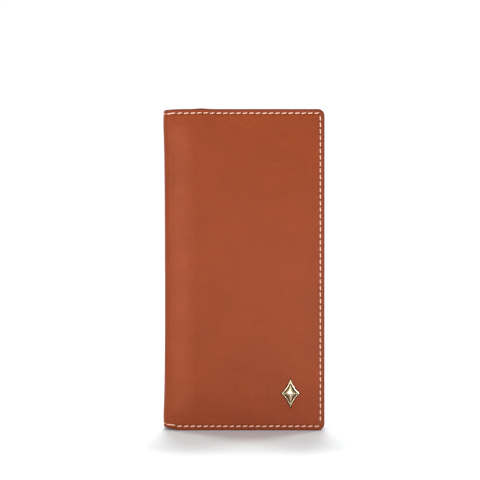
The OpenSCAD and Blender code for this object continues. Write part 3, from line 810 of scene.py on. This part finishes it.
def loft(name, rings, faces_y, patina_and_shadow):
    """A closed solid of badge metal from equal outlines in X and Z, each at its own Y. The last argument
    holds, from 0 to 1 for each point, how dark it is: patina in hollows, and painted shadow on the flange
    round the badge."""
    points = [(x, y, z) for ring, y in zip(rings, faces_y) for x, z in ring]
    n = len(rings[0])
    faces = [[r * n + s, r * n + (s + 1) % n, (r + 1) * n + (s + 1) % n, (r + 1) * n + s]
             for r in range(len(rings) - 1) for s in range(n)]
    faces += [list(range(n)), [(len(rings) - 1) * n + s for s in range(n)]]
    mesh = bpy.data.meshes.new(name)
    mesh.from_pydata(points, [], faces)
    store(mesh, "patina_and_shadow", "FLOAT", patina_and_shadow)
    return finish_mesh(name, mesh, BADGE, 24)


SIDE_STEPS = 6


def lozenge(cx, cz, w, h, bend):
    """A lozenge whose four sides bend inwards."""
    tips = [(0, -h / 2), (w / 2, 0), (0, h / 2), (-w / 2, 0)]
    ring = []
    for i in range(4):
        (x0, z0), (x1, z1) = tips[i], tips[(i + 1) % 4]
        mx, mz = (x0 + x1) / 2, (z0 + z1) / 2
        m = math.hypot(mx, mz)
        for k in range(SIDE_STEPS):
            t = k / SIDE_STEPS
            pull = bend * 4 * t * (1 - t)
            ring.append((cx + x0 + (x1 - x0) * t - mx / m * pull, cz + z0 + (z1 - z0) * t - mz / m * pull))
    return ring


badge_low, badge_high = node_box("badge")
bx, bz = (badge_low[0] + badge_high[0]) / 2, (badge_low[2] + badge_high[2]) / 2
bw, bh = badge_high[0] - badge_low[0], badge_high[2] - badge_low[2]
# Inset from the outline, rise from the leather, how far the sides bend in, how dark it is at the tips, and
# how
# # dark in the middle of each side: patina in the hollows, and on the flat rows nearly flush with the
# leather, out
# # to 0.75 mm past the outline, a dark flange that is a painted shadow of the recess round the badge.
profile = [(-0.75, -0.02, 0.6, 1.0, 1.0), (-0.7, 0.07, 0.6, 1.0, 1.0), (0.0, 0.08, 0.72, 1.0, 1.0),
           (0.0, 0.32, 0.72, 0.8, 0.8), (0.15, 0.5, 0.75, 0.0, 0.0), (0.62, 0.56, 0.78, 0.0, 0.0),
           (0.78, 0.4, 0.78, 0.6, 0.6), (0.86, 0.12, 0.78, 1.0, 1.0), (1.75, 0.1, 1.0, 1.0, 1.0),
           (1.85, 0.36, 1.1, 0.7, 0.9), (2.05, 0.55, 1.25, 0.0, 0.75), (3.6, 0.95, 1.5, 0.0, 0.6),
           (bw * 0.985, 1.25, 0.0, 0.0, 0.0)]
rings, ys, patina_and_shadow = [], [], []
for inset, rise, bend, tip_dark, side_dark in profile:
    k = max(0.015, 1 - inset * 1.85 / bw)
    rings.append(lozenge(bx, bz, bw * k, bh * k, bend * k))
    ys.append(badge_high[1] - rise)
    for step in range(4 * SIDE_STEPS):
        t = 1 - abs(step % SIDE_STEPS / (SIDE_STEPS / 2) - 1)
        patina_and_shadow.append(tip_dark + (side_dark - tip_dark) * smooth(1.6 * t - 0.6))
stud = loft("badge_lozenge", rings, ys, patina_and_shadow)
BEAD_R, BEAD_SIDES = 0.52, 16
turns = np.arange(BEAD_SIDES) * math.tau / BEAD_SIDES
tilts = np.radians([0, 25, 50, 70, 86])
for i, (way_x, way_z) in enumerate(((0, 1), (0, -1), (1, 0), (-1, 0)), 1):
    cx, cz = bx + way_x * (bw / 2 - 1.7), bz + way_z * (bh / 2 - 2.35)
    dome = [[(cx + r * math.cos(a), cz + r * math.sin(a)) for a in turns] for r in BEAD_R * np.cos(tilts)]
    dome_y = badge_high[1] - 0.1 - BEAD_R * np.sin(tilts)
    bead = loft("badge_bead_%d" % i, dome, dome_y, np.repeat([0.9, 0.2, 0, 0, 0], BEAD_SIDES))
    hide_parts("badge")
    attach(bead, "front")
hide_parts("badge")
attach(stud, "front")

# ---------------------------------------------------------------- zip metal


def arc(cx, cz, r, start, end, steps):
    """Points on an arc in the XZ plane, between two angles in degrees."""
    angles = np.radians(np.linspace(start, end, steps + 1))
    return [(cx + r * math.cos(a), cz + r * math.sin(a)) for a in angles]


def soften(corners, r):
    """An outline with its corners cut round at the distance r."""
    ring = []
    for i, corner in enumerate(corners):
        before, after = np.array(corners[i - 1]), np.array(corners[(i + 1) % len(corners)])
        corner = np.array(corner)
        a = corner + (before - corner) * min(0.45, r / np.linalg.norm(before - corner))
        b = corner + (after - corner) * min(0.45, r / np.linalg.norm(after - corner))
        for t in np.linspace(0, 1, 5):
            ring.append(tuple((1 - t) ** 2 * a + 2 * t * (1 - t) * corner + t * t * b))
    return ring


def drawn_in(ring, d):
    """The outline moved by d to its left, which is inwards for one that runs anticlockwise."""
    ring = np.array(ring)
    run = np.roll(ring, -1, 0) - ring
    left = np.stack([-run[:, 1], run[:, 0]], -1) / np.hypot(run[:, 0], run[:, 1])[:, None]
    before = np.roll(left, 1, 0)
    return ring + d * (left + before) / (1 + (left * before).sum(1))[:, None]


def mirrored(half, low_z):
    """An outline that is the same on both sides of the zip's middle. half is its right half, as distances
    from the middle and heights above low_z, from the bottom up."""
    right = [(ZIP_X + d, low_z + h) for d, h in half]
    return right + [(ZIP_X - d, low_z + h) for d, h in reversed(half) if d]


def plates(name, parts, rounds=3, lifts=(0.0,)):
    """Flat plates of zip metal with rounded edges, as one object. Each part is its outlines in X and Z, of
    which the later ones are holes, the two ends of its thickness in Y, and the radius of its edges. The whole
    is repeated at each lift."""
    tilts = np.linspace(0, math.pi / 2, rounds)
    joined = bmesh.new()
    for outlines, low_y, high_y, edge in parts:
        profile = [(edge * (1 - math.sin(t)), low_y + edge * (1 - math.cos(t))) for t in tilts]
        profile += [(inset, low_y + high_y - y) for inset, y in reversed(profile)]
        ends = [[], []]
        for k, outline in enumerate(outlines):
            x, z = np.array(outline).T
            inwards = np.sign((x * np.roll(z, -1) - z * np.roll(x, -1)).sum()) * (1 if k == 0 else -1)
            rings = []
            for inset, y in profile:
                ring = drawn_in(outline, inset * inwards)
                rings.append([joined.verts.new((x, y, z)) for x, z in ring])
            for a, b in zip(rings, rings[1:]):
                for i in range(len(a)):
                    joined.faces.new((a[i - 1], a[i], b[i], b[i - 1]))
            for end, ring in zip(ends, (rings[0], rings[-1])):
                end += [joined.edges.get((ring[i - 1], ring[i])) for i in range(len(ring))]
        for end in ends:
            bmesh.ops.triangle_fill(joined, use_beauty=True, edges=end, normal=(0, 1, 0))
    joined.verts.index_update()
    points = [tuple(v.co) for v in joined.verts]
    faces = [[v.index for v in f.verts] for f in joined.faces]
    joined.free()
    n = len(points)
    mesh = bpy.data.meshes.new(name)
    mesh.from_pydata([(x, y, z + lift) for lift in lifts for x, y, z in points], [],
                     [[v + k * n for v in face] for k in range(len(lifts)) for face in faces])
    obj = finish_mesh(name, mesh, BRASS, 50)
    for face in mesh.polygons:
        face.use_smooth = abs(face.normal.y) < 0.99
    return obj


slider_low, slider_high = node_box("zip_slider")
SLIDER_L = slider_high[2] - slider_low[2]
NOSE_W = (slider_high[0] - slider_low[0]) / 2
TAIL_W = NOSE_W - 0.8
WAIST_H, SHOULDER_H = 0.62 * SLIDER_L, 0.85 * SLIDER_L
PLATE_T = 0.55
BRIDGE_H = 1.55
FOOT_R = 0.58
tail_z = slider_low[2]
front_y = slider_low[1] + BRIDGE_H
rear_y = slider_high[1]
half_shield = [(TAIL_W, 0), (NOSE_W, WAIST_H), (NOSE_W, SHOULDER_H), (1.8, SLIDER_L)]
shield = soften(mirrored(half_shield, tail_z), 0.9)
slider_parts = [([shield], front_y, front_y + PLATE_T, 0.2), ([shield], rear_y - PLATE_T, rear_y, 0.2)]
rail = [(2.85, 0.1), (TAIL_W - 0.1, 0.1), (NOSE_W - 0.06, WAIST_H), (NOSE_W - 0.06, SHOULDER_H - 0.2),
        (3.65, SHOULDER_H), (3.65, WAIST_H)]
for way in (-1, 1):
    ring = [(ZIP_X + way * d, tail_z + h) for d, h in rail]
    slider_parts.append(([ring], front_y + PLATE_T - 0.25, front_y + 2 * PLATE_T, 0.04))
    slider_parts.append(([ring], rear_y - 2 * PLATE_T, rear_y - PLATE_T + 0.25, 0.04))
wedge = mirrored([(0, 5.4), (0.8, 7), (0.8, 8.4)], tail_z)
slider_parts.append(([wedge], front_y + 0.2, rear_y - 0.2, 0.04))
for foot_h in (2.2, 6.6):
    foot = arc(ZIP_X, tail_z + foot_h, FOOT_R, 0, 350, 20)
    slider_parts.append(([foot], front_y - BRIDGE_H + 0.3, front_y + 0.2, 0.03))
bar = soften(mirrored([(0.6, 1.6), (0.6, 7.2)], tail_z), 0.5)
slider_parts.append(([bar], front_y - BRIDGE_H, front_y - BRIDGE_H + 0.45, 0.16))
slider = plates("zip_slider_body", slider_parts)
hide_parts("zip_slider")
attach(slider, "zip_slider")

pull_low, pull_high = node_box("zip_pull")
EYE_R, TIP_R = 2.2, 2.4
eye_z, tip_z = pull_high[2] - EYE_R, pull_low[2] + TIP_R
tab = arc(ZIP_X, eye_z, EYE_R, -43, 223, 20) + arc(ZIP_X, tip_z, TIP_R, 157, 383, 20)
holes = [arc(ZIP_X, z, r, 0, 345, 23) for z, r in ((eye_z, 0.72), (tip_z, 1.0))]
raised = soften(mirrored([(1.15, 2.6), (0.8, eye_z - tip_z - 3.6)], tip_z), 0.5)
pull = plates("zip_pull_tab", [([tab, *holes], pull_low[1], pull_high[1], 0.2),
                               ([raised], pull_low[1] - 0.14, pull_low[1] + 0.3, 0.1)])
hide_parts("zip_pull")
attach(pull, "zip_pull")

TOOTH_PITCH, TOOTH_H = 1.8, 0.8
TAPE_EDGE = tape2_low[0] - ZIP_X
tape_y = (tape_low[1] + tape_high[1]) / 2
tape_half = (tape_high[1] - tape_low[1]) / 2


def clasped(side, low_z, head, jaw, half_y, edge):
    """Metal clasped on a tape edge: the part beside the tape, and one jaw on each face of the tape. head and
    jaw hold distances from the middle of the zip and heights above low_z."""
    outline, grip = ([(ZIP_X + side * d, low_z + h) for d, h in ring] for ring in (head, jaw))
    near, far = tape_half + 0.02, half_y - 0.08
    return [([outline], tape_y - half_y, tape_y + half_y, edge),
            ([grip], tape_y - far, tape_y - near, edge), ([grip], tape_y + near, tape_y + far, edge)]


def block(inner, outer, low_h, high_h):
    """A rectangle as distances from the middle of the zip and heights."""
    return [(inner, low_h), (outer, low_h), (outer, high_h), (inner, high_h)]


tooth_head = [(-0.5, 0.16), (-0.4, 0.03), (-0.05, 0), (0.35, 0.1), (TAPE_EDGE - 0.05, 0.02),
              (TAPE_EDGE - 0.05, 0.78), (0.35, 0.7), (-0.05, 0.8), (-0.4, 0.77), (-0.5, 0.64)]
tooth_jaw = soften(block(TAPE_EDGE - 0.2, TAPE_EDGE + 0.6, 0.02, 0.78), 0.2)
for side, word in ((-1, "left"), (1, "right")):
    low, high = node_box("zip_teeth_" + word)
    count = round((high[2] - low[2] - TOOTH_H) / TOOTH_PITCH) + 1
    tooth = clasped(side, low[2], tooth_head, tooth_jaw, (high[1] - low[1]) / 2, 0.1)
    row = plates("zip_teeth_row_" + word, tooth, 2, [k * TOOTH_PITCH for k in range(count)])
    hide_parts("zip_teeth_" + word)
    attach(row, "back")

stop_nodes = (("zip_stops_top", "zip_top_stops", 0.95), ("zip_stop_bottom", "zip_bottom_stop", 0.0))
for name, node, inner in stop_nodes:
    low, high = node_box(node)
    head = soften(block(inner, TAPE_EDGE - 0.05, 0, high[2] - low[2]), 0.2)
    jaw = soften(block(TAPE_EDGE - 0.3, high[0] - ZIP_X, 0, high[2] - low[2]), 0.3)
    halves = [clasped(side, low[2], head, jaw, (high[1] - low[1]) / 2, 0.12) for side in (-1, 1)]
    stop = plates(name, halves[0] + halves[1])
    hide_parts(node)
    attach(stop, "back")

# ---------------------------------------------------------------- badge prongs, kept from the CAD model

prongs = frame["nodes"]["badge_prongs"]
prongs.data.materials.clear()
prongs.data.materials.append(BRASS)

# ---------------------------------------------------------------- floor, light and camera

FLOOR = 3  # half of its side, in metres
floor_mesh = bpy.data.meshes.new("floor")
floor_mesh.from_pydata([(-FLOOR, -FLOOR, 0), (FLOOR, -FLOOR, 0), (FLOOR, FLOOR, 0), (-FLOOR, FLOOR, 0)], [],
                       [[0, 1, 2, 3]])
floor = bpy.data.objects.new("floor", floor_mesh)
bpy.context.scene.collection.objects.link(floor)
floor_mat, floor_shader = material("floor_white")
floor_shader.inputs["Base Color"].default_value = (0.86, 0.9, 0.91, 1)
floor_shader.inputs["Roughness"].default_value = 0.9
floor_shader.inputs["Specular IOR Level"].default_value = 0.0
floor_mesh.materials.append(floor_mat)

world = bpy.data.worlds.new("studio")
bpy.context.scene.world = world
world.use_nodes = True
sky = Graph(world)
up = sky.node("SeparateXYZ")
sky.put(sky.node("TexCoord").outputs["Generated"], up.inputs[0])
background = world.node_tree.nodes["Background"]
background.inputs[0].default_value = (1, 1, 1, 1)
sky.put(sky.ramp(up.outputs["Z"], 0.25, 0.7, 1.04, 0.26), background.inputs[1])
bpy.context.scene.view_settings.view_transform = "Standard"


def area_light(name, at, aim, width, height, power):
    """A soft box that faces the place aim."""
    data = bpy.data.lights.new(name, "AREA")
    data.energy = power
    data.shape = "RECTANGLE"
    data.size = width
    data.size_y = height
    obj = bpy.data.objects.new(name, data)
    obj.location = at
    obj.rotation_euler = (Vector(aim) - Vector(at)).to_track_quat("-Z", "Y").to_euler()
    bpy.context.scene.collection.objects.link(obj)


suns = (("light_overhead", 0.0, 1.7), ("light_left", 0.5, 0.85), ("light_right", -0.5, 0.85))
for name, lean_x, power in suns:
    sun_data = bpy.data.lights.new(name, "SUN")
    sun_data.energy = power
    sun_data.angle = math.radians(14)
    sun = bpy.data.objects.new(name, sun_data)
    sun.rotation_euler = Vector((lean_x, -0.38, -0.92)).to_track_quat("-Z", "Y").to_euler()
    bpy.context.scene.collection.objects.link(sun)
FOOT = (0, 0, 0.03)  # a place low on the wallet
area_light("light_front", (-0.4, -0.65, 0.12), FOOT, 0.5, 0.5, 2.8)
area_light("light_low", (0.15, -0.45, 0.03), FOOT, 0.3, 0.05, 0.75)

camera_data = bpy.data.cameras.new("camera")
camera_data.lens = 76.2
camera_data.sensor_width = 36
camera = bpy.data.objects.new("camera", camera_data)
camera.location = (-0.0025, -0.607, 0.1125)
camera.rotation_euler = (math.pi / 2, 0, 0)
bpy.context.scene.collection.objects.link(camera)
bpy.context.scene.camera = camera
